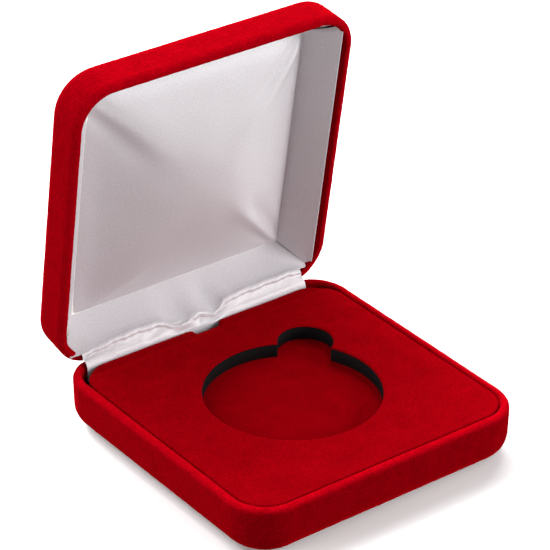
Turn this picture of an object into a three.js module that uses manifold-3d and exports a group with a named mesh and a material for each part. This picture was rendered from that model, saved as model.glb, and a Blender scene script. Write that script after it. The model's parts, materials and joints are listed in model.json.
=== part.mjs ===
// A square flocked presentation box for one round medal or ring capsule, standing open.
// Frame: X runs along the hinge, +Y points to the hinge at the back, +Z is up, and the origin is
// the middle of the base's flat underside. Millimetres. The lid is built closed over the base and
// its group is then turned back about the hinge pin to the open stop.
import * as THREE from "three";
import { mergeVertices } from "three/addons/utils/BufferGeometryUtils.js";
import Module from "manifold-3d";

const wasm = await Module();
wasm.setup();

// ---- Driving dimensions, mm and degrees ----
const SIDE = 86; // outside width and depth of both shells
const CORNER_R = 11.5; // plan radius of the shells' corners
const BASE_H = 14.2;
const LID_H = 12.1;
const PARTING_GAP = 0.4; // between the two rims when shut
const WALL = 2.6; // moulded wall with its flock
const FLOOR_T = 1.8; // floor of the base
const LID_TOP_T = 1.5; // top panel of the lid
const BASE_EDGE_R = 6; // round at the foot of the base's walls
const LID_EDGE_R = 3.4; // round at the top of the lid's walls
const RIM_R = 1; // rounding on both sides of each rim
const BASE_DRAFT = 0.023; // inward lean of the walls, per mm of height
const LID_DRAFT = 0.038;
const OPEN_DEG = 81; // how far the lid opens before the shells' chamfers meet
const CAPSULE_R = 23.1; // round recess, for a 46 mm capsule
const THUMB_R = 7.4; // finger notch on the recess's edge
const THUMB_OUT = 24.6; // from the recess's centre to the notch's centre, on the diagonal
const RECESS_DEPTH = 4.25;

const SKIN = 0.1; // gap between flat layers that lie on each other
const GAP = 0.3; // gap between pieces that meet
const CORNER_STEPS = 8; // divisions of a plan corner
const EDGE_STEPS = 5; // rings in a fillet

// ---- Hinge ----
const PIN_R = 0.6;
const BORE_R = 0.72;
const KNUCKLE_R = 1.2;
const LEAF_T = 0.5;
const HINGE_HALF = 30; // half the length of the leaves
const PIVOT_IN = 1.7; // pivot line in front of the shells' back face
const PIVOT_DROP = 0.15; // pivot line below the base's rim
const PIVOT_Y = SIDE / 2 - PIVOT_IN;
const PIVOT_Z = BASE_H - PIVOT_DROP;
const CHAMFER_DEG = 42.5; // slope of the relief behind the pin, on each shell
const BASE_LEAF_DROP = 8.5; // from the pin to the base leaf's lower edge
const LID_LEAF_RISE = 7;
const SPRING_HALF = 4; // half the width of the leaf spring
const SPRING_T = 0.3;
const FLAP_HALF = 36; // half the width of the satin that crosses the hinge
const SATIN_T = 0.35;

// ---- Solids and geometries ----
function toSolid(geometry) {
  const bare = geometry.index ? geometry.toNonIndexed() : geometry.clone();
  bare.deleteAttribute("normal");
  bare.deleteAttribute("uv");
  const merged = mergeVertices(bare, 1e-4);
  return new wasm.Manifold(
    new wasm.Mesh({
      numProp: 3,
      vertProperties: merged.attributes.position.array,
      triVerts: new Uint32Array(merged.index.array),
    }),
  );
}

function toGeometry(solid) {
  const mesh = solid.getMesh();
  const geometry = new THREE.BufferGeometry();
  geometry.setAttribute("position", new THREE.BufferAttribute(mesh.vertProperties, 3));
  geometry.setIndex(new THREE.BufferAttribute(mesh.triVerts, 1));
  geometry.computeVertexNormals();
  return geometry;
}

// A rounded rectangle between two x and two y limits.
function roundedRect(x0, x1, y0, y1, radius) {
  const r = Math.min(radius, (x1 - x0) / 2 - 0.01, (y1 - y0) / 2 - 0.01);
  const shape = new THREE.Shape();
  shape.moveTo(x1, y0 + r);
  shape.lineTo(x1, y1 - r);
  shape.absarc(x1 - r, y1 - r, r, 0, Math.PI / 2);
  shape.lineTo(x0 + r, y1);
  shape.absarc(x0 + r, y1 - r, r, Math.PI / 2, Math.PI);
  shape.lineTo(x0, y0 + r);
  shape.absarc(x0 + r, y0 + r, r, Math.PI, 1.5 * Math.PI);
  shape.lineTo(x1 - r, y0);
  shape.absarc(x1 - r, y0 + r, r, 1.5 * Math.PI, 2 * Math.PI);
  return shape;
}

// One ring of points: the rounded square of a wall, moved in by `inset`, at height z.
// `hinge` is a further inset on the hinge side alone.
function ring(inset, z, radius = CORNER_R - inset, hinge = 0) {
  const half = SIDE / 2 - inset;
  const r = Math.min(Math.max(radius, 0.6), half - 0.05);
  const points = [];
  for (let quarter = 0; quarter < 4; quarter++) {
    const a = (quarter * Math.PI) / 2;
    const sx = Math.sign(Math.cos(a + 0.1));
    const sy = Math.sign(Math.sin(a + 0.1));
    const x = sx * (half - r);
    const y = sy > 0 ? half - hinge - r : r - half;
    const corner = new THREE.EllipseCurve(x, y, r, r, a, a + Math.PI / 2);
    points.push(...corner.getPoints(CORNER_STEPS));
  }
  return points.map((p) => new THREE.Vector3(p.x, p.y, z));
}

// A closed body through a stack of rings. Its first ring is capped flat, and its last is capped
// flat or drawn to the point `tip`. A stack that runs down is turned right side out.
function loft(rings, tip = null) {
  const n = rings[0].length;
  const middle = (points) => points.reduce((s, p) => s.add(p), new THREE.Vector3()).divideScalar(n);
  const points = [...rings.flat(), middle(rings[0]), tip ?? middle(rings.at(-1))];
  const [first, last] = [points.length - 2, points.length - 1];
  const top = n * (rings.length - 1);
  const triangles = [];
  for (let i = 0; i < n; i++) {
    const j = (i + 1) % n;
    for (let k = 0; k < top; k += n) triangles.push(k + i, k + j, k + n + j, k + i, k + n + j, k + n + i);
    triangles.push(j, i, first, top + i, top + j, last);
  }
  if (points[last].z < points[first].z) triangles.reverse();
  const geometry = new THREE.BufferGeometry().setFromPoints(points);
  geometry.setIndex(triangles);
  return toSolid(geometry);
}

// A prism of a plan outline between two heights.
function slab(shape, z0, z1, curveSegments = 24) {
  const geometry = new THREE.ExtrudeGeometry(shape, {
    depth: z1 - z0,
    bevelEnabled: false,
    curveSegments,
  });
  return toSolid(geometry.translate(0, 0, z0));
}

// A prism along X between x0 and x1 of an outline drawn in (y, z), counted from the hinge pin.
function alongHinge(shape, x0, x1, curveSegments = 12) {
  const geometry = new THREE.ExtrudeGeometry(shape, {
    depth: x1 - x0,
    bevelEnabled: false,
    curveSegments,
  });
  const turn = new THREE.Matrix4().makeBasis(
    new THREE.Vector3(0, 1, 0),
    new THREE.Vector3(0, 0, 1),
    new THREE.Vector3(1, 0, 0),
  );
  geometry.applyMatrix4(turn).translate(x0, PIVOT_Y, PIVOT_Z);
  return toSolid(geometry);
}

function boxAt(x0, x1, y0, y1, z0, z1) {
  const geometry = new THREE.BoxGeometry(x1 - x0, y1 - y0, z1 - z0);
  return toSolid(geometry.translate((x0 + x1) / 2, (y0 + y1) / 2, (z0 + z1) / 2));
}

// A box given from the hinge pin: y and z are offsets from the pivot line.
function boxAtPin(x0, x1, y0, y1, z0, z1) {
  return boxAt(x0, x1, PIVOT_Y + y0, PIVOT_Y + y1, PIVOT_Z + z0, PIVOT_Z + z1);
}

// A round bar on the pivot line.
function barAtPin(radius, x0, x1, segments = 24) {
  const geometry = new THREE.CylinderGeometry(radius, radius, x1 - x0, segments);
  geometry.rotateZ(Math.PI / 2).translate((x0 + x1) / 2, PIVOT_Y, PIVOT_Z);
  return toSolid(geometry);
}

// ---- Shells ----
// An open tray, mouth up, with a filleted foot, drafted walls and a rounded rim.
function tray(height, footR, draft, panel) {
  const outer = [];
  for (let i = 0; i <= EDGE_STEPS; i++) {
    const a = ((i / EDGE_STEPS) * Math.PI) / 2;
    const z = footR * (1 - Math.cos(a));
    outer.push(ring(footR * (1 - Math.sin(a)) + draft * (height - z), z));
  }
  for (let i = 0; i <= EDGE_STEPS; i++) {
    const a = ((i / EDGE_STEPS) * Math.PI) / 2;
    const z = height - RIM_R * (1 - Math.sin(a));
    outer.push(ring(RIM_R * (1 - Math.cos(a)) + draft * (height - z), z));
  }
  const footInnerR = Math.max(footR - WALL, 1);
  const inner = [];
  for (let i = 0; i <= EDGE_STEPS; i++) {
    const a = ((i / EDGE_STEPS) * Math.PI) / 2;
    const z = panel + footInnerR * (1 - Math.cos(a));
    inner.push(ring(WALL + footInnerR * (1 - Math.sin(a)), z));
  }
  for (let i = 0; i <= EDGE_STEPS; i++) {
    const a = ((i / EDGE_STEPS) * Math.PI) / 2;
    const z = height - RIM_R * (1 - Math.sin(a));
    inner.push(ring(WALL - RIM_R * (1 - Math.cos(a)), z));
  }
  inner.push(ring(WALL - RIM_R, height + 1));
  return loft(outer).subtract(loft(inner));
}

// Everything a shell gives up to the hinge. `up` is -1 in the base and 1 in the lid, for the side
// of the pivot line that the shell lies on.
function hingeRelief(up) {
  const slope = THREE.MathUtils.degToRad(CHAMFER_DEG);
  const reach = 8;
  const clear = 0.12;
  const corners = [
    [0, up * clear],
    [reach * Math.cos(slope), up * (clear + reach * Math.sin(slope))],
    [reach * Math.cos(slope), -up * reach],
    [0, -up * reach],
  ];
  const ordered = up > 0 ? corners.toReversed() : corners;
  const wedge = new THREE.Shape(ordered.map(([y, z]) => new THREE.Vector2(y, z)));
  const barrel = barAtPin(KNUCKLE_R + GAP + 0.05, -HINGE_HALF - 1.4, HINGE_HALF + 1.4);
  const leafReach = (up < 0 ? BASE_LEAF_DROP : LID_LEAF_RISE) + GAP;
  const leafSeat = boxAtPin(
    -HINGE_HALF - GAP,
    HINGE_HALF + GAP,
    -2,
    -KNUCKLE_R + LEAF_T + GAP,
    Math.min(0, up * leafReach),
    Math.max(0, up * leafReach),
  );
  return alongHinge(wedge, -SIDE, SIDE).add(barrel).add(leafSeat).add(hookPockets(up));
}

const HOOK_X = [-24, -12, 12, 24];
const HOOK_HALF = 1.5;
const HOOK_RISE = 5;
const HOOK_IN = 0.85; // how far a hook stands into the wall, from the leaf

function hookPockets(up) {
  const z0 = Math.min(up * (HOOK_RISE - GAP), up * (HOOK_RISE + LEAF_T + GAP));
  return HOOK_X.map((x) =>
    boxAtPin(
      x - HOOK_HALF - GAP,
      x + HOOK_HALF + GAP,
      -KNUCKLE_R,
      -KNUCKLE_R + LEAF_T + HOOK_IN + GAP,
      z0,
      z0 + LEAF_T + 2 * GAP,
    ),
  ).reduce((all, pocket) => all.add(pocket));
}

function baseShell() {
  return tray(BASE_H, BASE_EDGE_R, BASE_DRAFT, FLOOR_T).subtract(hingeRelief(-1));
}

// The lid is the same tray, mouth down.
const LID_RIM_Z = BASE_H + PARTING_GAP;
function lidShell() {
  return tray(LID_H, LID_EDGE_R, LID_DRAFT, LID_TOP_T)
    .rotate([180, 0, 0])
    .translate([0, 0, LID_RIM_Z + LID_H])
    .subtract(hingeRelief(1));
}

// ---- Hinge pieces ----
const KNUCKLE_GAP = 0.4;
const BASE_KNUCKLES = [
  [-HINGE_HALF, -18.4],
  [-5.8, 5.8],
  [18.4, HINGE_HALF],
];
const LID_KNUCKLES = BASE_KNUCKLES.slice(1).map(([x], i) => [
  BASE_KNUCKLES[i][1] + KNUCKLE_GAP,
  x - KNUCKLE_GAP,
]);

function leaf(up, reach, knuckles) {
  const face = -KNUCKLE_R;
  const start = KNUCKLE_R + GAP;
  const span = (z) => [Math.min(up * z[0], up * z[1]), Math.max(up * z[0], up * z[1])];
  let made = boxAtPin(-HINGE_HALF, HINGE_HALF, face, face + LEAF_T, ...span([start, reach]));
  for (const [x0, x1] of knuckles) {
    made = made.add(boxAtPin(x0, x1, face, face + LEAF_T, ...span([0, start])));
    made = made.add(barAtPin(KNUCKLE_R, x0, x1));
  }
  for (const x of HOOK_X) {
    const hook = [face, face + LEAF_T + HOOK_IN];
    made = made.add(
      boxAtPin(x - HOOK_HALF, x + HOOK_HALF, ...hook, ...span([HOOK_RISE, HOOK_RISE + LEAF_T])),
    );
  }
  return made.subtract(barAtPin(BORE_R, -SIDE / 2, SIDE / 2));
}

const PIN_HEAD_R = 0.95;
const PIN_HEAD_T = 0.5;
function hingePin() {
  const end = HINGE_HALF + KNUCKLE_GAP;
  return barAtPin(PIN_R, -end - 0.1, end + 0.1, 16)
    .add(barAtPin(PIN_HEAD_R, -end - PIN_HEAD_T, -end, 16))
    .add(barAtPin(PIN_HEAD_R, end, end + PIN_HEAD_T, 16));
}

// A strip that wraps round the open hinge: down the base leaf, round the pin at `radius`, and
// back along the lid leaf. Lengths are measured from the pin. Drawn in (y, z) from the pin.
function wrap(radius, thickness, down, along) {
  const open = THREE.MathUtils.degToRad(OPEN_DEG);
  const side = (r) => {
    const points = [new THREE.Vector2(-r, -down)];
    const steps = 8;
    for (let i = 0; i <= steps; i++) {
      const a = Math.PI - (open * i) / steps;
      points.push(new THREE.Vector2(r * Math.cos(a), r * Math.sin(a)));
    }
    const lidWay = new THREE.Vector2(Math.sin(open), Math.cos(open));
    points.push(points.at(-1).clone().addScaledVector(lidWay, along));
    return points;
  };
  const outline = [...side(radius), ...side(radius + thickness).reverse()];
  return new THREE.Shape(outline);
}

const SPRING_R = KNUCKLE_R + GAP;
const FLAP_R = 2.7;
function hingeSpring() {
  return alongHinge(wrap(SPRING_R, SPRING_T, 6.5, 5.5), -SPRING_HALF, SPRING_HALF);
}
function satinFlap() {
  return alongHinge(wrap(FLAP_R, SATIN_T, 4, 1.4), -FLAP_HALF, FLAP_HALF);
}

// ---- What fills the base ----
const INSERT_TOP = BASE_H - 0.4;
const VELVET_T = 0.5;
const RECESS_FLOOR = INSERT_TOP - RECESS_DEPTH;
const INSERT_BACK = PIVOT_Y - FLAP_R - SATIN_T - 0.65; // the pad stops short of the satin
const INSERT_EDGE = SIDE / 2 - WALL - 0.2;
const INSERT_CORNER = CORNER_R - WALL - 0.2;
const RECESS_Y = (INSERT_BACK - INSERT_EDGE) / 2;
const SPRING_NOTCH_HALF = 4.2; // room for the spring in the pad's back edge
const SPRING_NOTCH_DEPTH = 1.8;

function padOutline(inset = 0) {
  const half = INSERT_EDGE - inset;
  return roundedRect(-half, half, -half, INSERT_BACK, INSERT_CORNER - inset);
}

// The round recess with its finger notch and the notch for the spring, cut right through.
function padHoles(z0, z1) {
  const circle = (x, y, r) => new THREE.Shape().absarc(x, y, r, 0, 2 * Math.PI);
  const out = THUMB_OUT / Math.SQRT2;
  const springNotch = roundedRect(
    -SPRING_NOTCH_HALF,
    SPRING_NOTCH_HALF,
    INSERT_BACK - SPRING_NOTCH_DEPTH,
    INSERT_BACK + 3,
    1,
  );
  return slab(circle(0, RECESS_Y, CAPSULE_R), z0, z1, 48)
    .add(slab(circle(out, RECESS_Y + out, THUMB_R), z0, z1, 24))
    .add(slab(springNotch, z0, z1, 4));
}

const FLOOR_CARD_T = 0.7;
const floorVelvetZ = RECESS_FLOOR - VELVET_T;
const floorCardZ = floorVelvetZ - SKIN - FLOOR_CARD_T;

function insertFoam() {
  const [z0, z1] = [RECESS_FLOOR + SKIN, INSERT_TOP - VELVET_T - SKIN];
  return slab(padOutline(), z0, z1, 8).subtract(padHoles(z0 - 1, z1 + 1));
}
function insertVelvet() {
  const [z0, z1] = [INSERT_TOP - VELVET_T, INSERT_TOP];
  return slab(padOutline(), z0, z1, 8).subtract(padHoles(z0 - 1, z1 + 1));
}
function floorVelvet() {
  return slab(padOutline(0.2), floorVelvetZ, RECESS_FLOOR, 8);
}
function floorCard() {
  return slab(padOutline(0.3), floorCardZ, floorCardZ + FLOOR_CARD_T, 8);
}
function floorFoam() {
  return slab(padOutline(BASE_EDGE_R - WALL + 0.3), FLOOR_T + SKIN, floorCardZ - SKIN, 8);
}

// ---- What lines the lid, built shut over the base ----
// Depth is counted from the lid's rim, and inset from its outside face.
const LINING_START = 1.2; // depth where the lining begins
const LINING_RIM_IN = WALL + 0.35; // inset of the card there
const HINGE_SIDE_IN = 0.85; // how much further in it starts beside the hinge
const CREASE_DEPTH = 9.3; // depth of the satin where wall and cushion meet
const CREASE_IN = 9.6; // inset of that crease
const CREASE_R = 2.6; // plan radius there
const CARD_T = 0.45;
const LAYER_GAP = 0.2;
const SATIN_RIM_IN = LINING_RIM_IN + CARD_T + LAYER_GAP;
const CUSHION_RISE = 4.7; // how far the wadding pushes the satin off its crease, at the middle
const CARD_DEPTH = CREASE_DEPTH + SATIN_T + LAYER_GAP;

const liningRing = (inset, depth, radius, hinge = 0) => ring(inset, LID_RIM_Z + depth, radius, hinge);

// Where the lining starts, at the rim, with the hinge side set further in.
const rimRing = (inset, depth = LINING_START) =>
  liningRing(inset, depth, CORNER_R - inset, HINGE_SIDE_IN);

// The cushion's rings from near the crease towards the middle, and its highest point.
function cushion(inset, depth, shares) {
  const half = SIDE / 2 - inset;
  const rings = shares.map((share) => {
    const lift = CUSHION_RISE * (1 - share ** 2.2);
    return liningRing(SIDE / 2 - half * share, depth - lift, CREASE_R + 12 * (1 - share));
  });
  return [rings, new THREE.Vector3(0, 0, LID_RIM_Z + depth - CUSHION_RISE)];
}

// The card blank: a flat top panel and four sloped walls, with a slit at each folded corner.
function liningCard() {
  const outer = loft([
    rimRing(LINING_RIM_IN),
    liningRing(CREASE_IN - CARD_T, CARD_DEPTH + CARD_T, CREASE_R),
  ]);
  const inner = loft([
    rimRing(LINING_RIM_IN + CARD_T, LINING_START - 1),
    rimRing(LINING_RIM_IN + CARD_T),
    liningRing(CREASE_IN, CARD_DEPTH, CREASE_R),
  ]);
  const slitAt = SIDE / 2 - CREASE_IN / 2;
  const slits = [45, 135, 225, 315].map((degrees) => {
    const turn = THREE.MathUtils.degToRad(degrees);
    const reach = slitAt * Math.SQRT2;
    const slit = new THREE.BoxGeometry(CREASE_IN, 0.8, CREASE_DEPTH);
    slit.translate(reach, 0, LID_RIM_Z + CREASE_DEPTH / 2 - 0.5);
    return toSolid(slit.rotateZ(turn));
  });
  return slits.reduce((blank, slit) => blank.subtract(slit), outer.subtract(inner));
}

function liningWadding() {
  const depth = CREASE_DEPTH + SATIN_T + GAP;
  const [rings, tip] = cushion(CREASE_IN, depth, [0.88, 0.75, 0.55, 0.3]);
  const back = liningRing(CREASE_IN + 2, CARD_DEPTH - GAP, CREASE_R);
  return loft([back, ...rings], tip);
}

function liningSatin() {
  const shares = [0.97, 0.88, 0.75, 0.55, 0.3];
  const skin = (inset, depth) => {
    const [rings, tip] = cushion(CREASE_IN + inset, CREASE_DEPTH + depth, shares);
    const crease = liningRing(CREASE_IN + inset, CREASE_DEPTH + depth, CREASE_R);
    return [[rimRing(SATIN_RIM_IN + inset), crease, ...rings], tip];
  };
  const [backRings, backTip] = skin(0, SATIN_T);
  const [faceRings, faceTip] = skin(SATIN_T, 0);
  const mouth = rimRing(SATIN_RIM_IN + SATIN_T, LINING_START - 1);
  return loft(backRings, backTip).subtract(loft([mouth, ...faceRings], faceTip));
}

// ---- Materials ----
const finish = (color, roughness, metalness = 0) =>
  new THREE.MeshStandardMaterial({ color, roughness, metalness });
const flock = finish(0xa3060f, 0.95);
const velvet = finish(0x9c0510, 0.95);
const satin = finish(0xd9d5da, 0.45);
const foam = finish(0x17161a, 0.9);
const packing = finish(0xe4e0d8, 0.9);
const card = finish(0xb9b2a4, 0.85);
const steel = finish(0xb8bcc0, 0.35, 1);

function named(name, solid, material) {
  const mesh = new THREE.Mesh(toGeometry(solid), material);
  mesh.name = name;
  return mesh;
}

const box = new THREE.Group();
const base = new THREE.Group();
base.add(
  named("base_shell", baseShell(), flock),
  named("floor_foam", floorFoam(), packing),
  named("floor_card", floorCard(), card),
  named("floor_velvet", floorVelvet(), velvet),
  named("insert_foam", insertFoam(), foam),
  named("insert_velvet", insertVelvet(), velvet),
  named("hinge_leaf_base", leaf(-1, BASE_LEAF_DROP, BASE_KNUCKLES), steel),
  named("hinge_pin", hingePin(), steel),
  named("hinge_spring", hingeSpring(), steel),
  named("satin_hinge_flap", satinFlap(), satin),
);

// Built shut, the lid's pieces are moved so that the pin is their origin, then turned open.
const lid = new THREE.Group();
lid.position.set(0, PIVOT_Y, PIVOT_Z);
lid.rotation.x = -THREE.MathUtils.degToRad(OPEN_DEG);
const lidPieces = new THREE.Group();
lidPieces.position.set(0, -PIVOT_Y, -PIVOT_Z);
lidPieces.add(
  named("lid_shell", lidShell(), flock),
  named("lining_card", liningCard(), card),
  named("lining_wadding", liningWadding(), packing),
  named("lining_satin", liningSatin(), satin),
  named("hinge_leaf_lid", leaf(1, LID_LEAF_RISE, LID_KNUCKLES), steel),
);
lid.add(lidPieces);
box.add(base, lid);

export default box;
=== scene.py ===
"""Presentation box: the looks of a square flocked box with a padded satin lid, built round its CAD frame.

The file is laid out as an add-on. Each piece has an operator, each size and colour that a maker
would change has a property, and main() runs the operators in order.
"""

import json
import math

import bmesh
import bpy
import numpy as np
from bpy.props import FloatProperty, FloatVectorProperty, PointerProperty
from mathutils import Matrix, Vector, noise
from mathutils.geometry import delaunay_2d_cdt


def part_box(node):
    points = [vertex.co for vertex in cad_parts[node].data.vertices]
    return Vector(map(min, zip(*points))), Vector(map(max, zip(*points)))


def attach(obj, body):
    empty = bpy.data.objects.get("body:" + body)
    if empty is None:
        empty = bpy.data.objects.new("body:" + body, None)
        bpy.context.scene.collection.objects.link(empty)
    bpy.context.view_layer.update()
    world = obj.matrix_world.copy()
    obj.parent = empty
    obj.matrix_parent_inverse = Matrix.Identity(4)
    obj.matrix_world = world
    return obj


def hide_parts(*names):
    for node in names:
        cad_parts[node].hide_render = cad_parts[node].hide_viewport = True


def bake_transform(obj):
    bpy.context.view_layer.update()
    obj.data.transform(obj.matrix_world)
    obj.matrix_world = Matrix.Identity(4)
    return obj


bl_info = {
    "name": "Presentation Box",
    "version": (1, 0, 0),
    "blender": (4, 5, 0),
    "location": "3D View > Sidebar > Box",
    "description": "Builds a flocked presentation box with a satin-lined lid",
    "category": "Add Mesh",
}

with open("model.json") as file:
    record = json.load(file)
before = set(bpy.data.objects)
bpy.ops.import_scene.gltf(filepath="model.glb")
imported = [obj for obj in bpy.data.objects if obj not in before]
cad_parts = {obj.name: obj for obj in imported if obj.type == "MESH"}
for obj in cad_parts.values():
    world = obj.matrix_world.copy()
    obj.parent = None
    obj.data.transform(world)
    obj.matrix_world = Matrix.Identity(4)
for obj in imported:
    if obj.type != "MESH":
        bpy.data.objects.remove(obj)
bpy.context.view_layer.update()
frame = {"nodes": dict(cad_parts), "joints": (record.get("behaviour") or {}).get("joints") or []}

MM = 0.001
JOINT = next(j for j in frame["joints"] if j["name"] == "lid_hinge")
PIVOT = np.array(JOINT["pos_m"])
OPEN_ANGLE = math.radians(JOINT["range_deg"][1])


# ---- Places read from the frame ----
def turn_about_pin(points, angle):
    """Points turned about the hinge pin; a positive angle shuts the lid."""
    c, s = math.cos(angle), math.sin(angle)
    p = np.asarray(points, float) - PIVOT
    y = p[..., 1] * c - p[..., 2] * s
    z = p[..., 1] * s + p[..., 2] * c
    return np.stack([p[..., 0], y, z], axis=-1) + PIVOT


def opened(points):
    """Points of the shut lid, moved to where they are with the lid open."""
    return turn_about_pin(points, -OPEN_ANGLE)


def shut_box(node):
    """Lowest and highest corner that a lid node has when the lid is shut."""
    co = np.array([v.co for v in frame["nodes"][node].data.vertices], float)
    co = turn_about_pin(co, OPEN_ANGLE)
    return co.min(0), co.max(0)


PAD_LOW, PAD_HIGH = (np.array(corner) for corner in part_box("insert_velvet"))
FOAM_LOW, FOAM_HIGH = (np.array(corner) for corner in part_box("insert_foam"))
FLOOR_LOW, FLOOR_HIGH = (np.array(corner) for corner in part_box("floor_velvet"))
LID_LOW, LID_HIGH = shut_box("lid_shell")

SIDE = 86 * MM
LEAF_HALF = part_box("hinge_leaf_base")[1][0]
BASE_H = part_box("base_shell")[1][2]
LID_RIM_Z = LID_LOW[2]
LID_H = LID_HIGH[2] - LID_LOW[2]


# ---- Properties ----
def hex_to_srgb(code):
    """The three sRGB parts, 0 to 1, of a colour such as #A3060F."""
    return tuple(int(code[i : i + 2], 16) / 255 for i in (1, 3, 5))


def length(name, description, default_mm):
    """A length property, held in metres."""
    return FloatProperty(
        name=name,
        description=description,
        default=default_mm * MM,
        subtype="DISTANCE",
        unit="LENGTH",
        precision=5,
    )


def colour(name, description, code):
    """An sRGB colour property."""
    return FloatVectorProperty(
        name=name,
        description=description,
        default=hex_to_srgb(code),
        size=3,
        min=0,
        max=1,
        subtype="COLOR_GAMMA",
    )


class BoxSizes(bpy.types.PropertyGroup):
    """Sizes of the pieces that are built here."""

    corner_radius: length("Corner radius", "Plan radius of both shells' corners", 11.5)
    wall: length("Wall", "Moulded wall with its flock", 2.6)
    base_foot: length("Foot radius", "Round at the foot of the base's walls", 6.0)
    lid_edge: length("Lid edge radius", "Round at the top of the lid's walls", 3.4)
    rim_radius: length("Rim radius", "Round on the inner side of each rim", 1.0)
    rim_outer: length("Outer rim radius", "Round on the outer side of each rim", 1.6)
    nap: length("Nap", "How far clumps of flock stand out", 0.05)
    recess_radius: length("Recess radius", "Radius of the cut-out for the capsule", 23.1)
    notch_radius: length("Notch radius", "Radius of the finger notch", 7.4)
    notch_reach: length("Notch reach", "From the recess's centre to the notch's centre", 24.6)
    cushion_rise: length("Cushion rise", "How far the wadding lifts the satin's middle", 6.4)
    crease_in: length("Crease inset", "From the shell's outside to the lining's crease", 9.8)
    crease_depth: length("Crease depth", "From the lid's rim to the lining's crease", 9.3)


class BoxColours(bpy.types.PropertyGroup):
    """Colours of the finishes."""

    flock: colour("Flock", "Rayon flock on the shells", "#84000A")
    velvet: colour("Velvet", "Velvet of the insert", "#7E0008")
    satin: colour("Satin", "Acetate satin of the lining", "#CEC9CD")
    foam: colour("Foam", "Cut foam in the wall of the recess", "#0B090A")
    floor: colour("Floor", "Surface the box stands on", "#F4F4F4")


# ---- Materials ----
def linear(srgb, alpha=1.0):
    """A linear RGBA colour from sRGB parts."""
    parts = [c / 12.92 if c <= 0.04045 else ((c + 0.055) / 1.055) ** 2.4 for c in srgb]
    return (*parts, alpha)


def add(tree, kind, inputs=None, **settings):
    """Adds a node. An input is a value, a node to link from, or (node, output name)."""
    made = tree.nodes.new(kind)
    for name, value in settings.items():
        setattr(made, name, value)
    for socket, value in (inputs or {}).items():
        if isinstance(value, bpy.types.Node):
            tree.links.new(value.outputs[0], made.inputs[socket])
        elif isinstance(value, tuple) and isinstance(value[0], bpy.types.Node):
            tree.links.new(value[0].outputs[value[1]], made.inputs[socket])
        else:
            made.inputs[socket].default_value = value
    return made


def material(name, build):
    """The named material, built once by build(tree), which returns its surface shader."""
    made = bpy.data.materials.get(name)
    if made is None:
        made = bpy.data.materials.new(name)
        made.use_nodes = True
        made.node_tree.nodes.clear()
        shader = build(made.node_tree)
        add(made.node_tree, "ShaderNodeOutputMaterial", {"Surface": shader})
    return made


def cycles_in(size):
    """Texture scale, per metre, of a pattern whose features are that size."""
    return 1 / size


def ramp(tree, source, stops):
    """A colour ramp through (position, colour) stops."""
    made = add(tree, "ShaderNodeValToRGB", {"Fac": source})
    elements = made.color_ramp.elements
    while len(elements) < len(stops):
        elements.new(0.5)
    for element, (position, rgba) in zip(elements, stops):
        element.position = position
        element.color = rgba
    return made


def pile(tree, shade, nap, lie, sheen, depth):
    """A cloth of short upright fibres: nap is the size of a tuft, lie that of a brushed patch."""
    where = (add(tree, "ShaderNodeTexCoord"), "Object")
    patches = add(
        tree,
        "ShaderNodeTexNoise",
        {"Vector": where, "Scale": cycles_in(lie), "Detail": 4.0, "Roughness": 0.6},
    )
    tufts = add(
        tree,
        "ShaderNodeTexNoise",
        {"Vector": where, "Scale": cycles_in(nap), "Detail": 3.0, "Roughness": 0.65},
    )
    dark, light = (tuple(c * k for c in shade[:3]) + (1.0,) for k in (0.86, 1.1))
    tone = ramp(tree, patches, [(0.3, dark), (0.5, shade), (0.7, light)])
    grain = ramp(tree, tufts, [(0.3, (0.62, 0.62, 0.62, 1)), (0.72, (1.25, 1.25, 1.25, 1))])
    # Painted highlight: along each rim's crest the colour is lightened up to 1.6 times, standing in for
    # the sheen that the rims catch from the lamps.
    rim = add(tree, "ShaderNodeAttribute", attribute_name="rim")
    painted_rim_highlight = ramp(tree, (rim, "Fac"), [(0.0, (1, 1, 1, 1)), (1.0, (1.6, 1.6, 1.6, 1))])
    # The colour sockets of a Mix node are 6 and 7, and its colour output is 2.
    blend = {"data_type": "RGBA", "blend_type": "MULTIPLY"}
    tinted = add(tree, "ShaderNodeMix", {0: 1.0, 6: tone, 7: grain}, **blend)
    mixed = add(tree, "ShaderNodeMix", {0: 1.0, 6: (tinted, 2), 7: painted_rim_highlight}, **blend)
    bump = add(
        tree,
        "ShaderNodeBump",
        {"Height": tufts, "Strength": depth, "Distance": nap * 0.5},
    )
    return add(
        tree,
        "ShaderNodeBsdfPrincipled",
        {
            "Base Color": (mixed, 2),
            "Roughness": 0.95,
            "Specular IOR Level": 0.0,
            "Sheen Weight": sheen,
            "Sheen Roughness": 0.42,
            "Sheen Tint": (1.0, 0.005, 0.009, 1.0),
            "Normal": bump,
        },
    )


def flock_material():
    """Rayon flock, blown on upright in glue: deep and matt face on, bright where it is grazed."""
    shade = linear(bpy.context.scene.box_colours.flock)
    return material(
        "rayon_flock_red",
        lambda tree: pile(tree, shade, nap=0.42 * MM, lie=3.2 * MM, sheen=0.54, depth=1.0),
    )


def velvet_material():
    """Short-pile velvet, brushed one way: darker than the flock, with faint brushed patches."""
    shade = linear(bpy.context.scene.box_colours.velvet)
    return material(
        "short_pile_velvet_red",
        lambda tree: pile(tree, shade, nap=0.34 * MM, lie=6 * MM, sheen=0.5, depth=0.6),
    )


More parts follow.
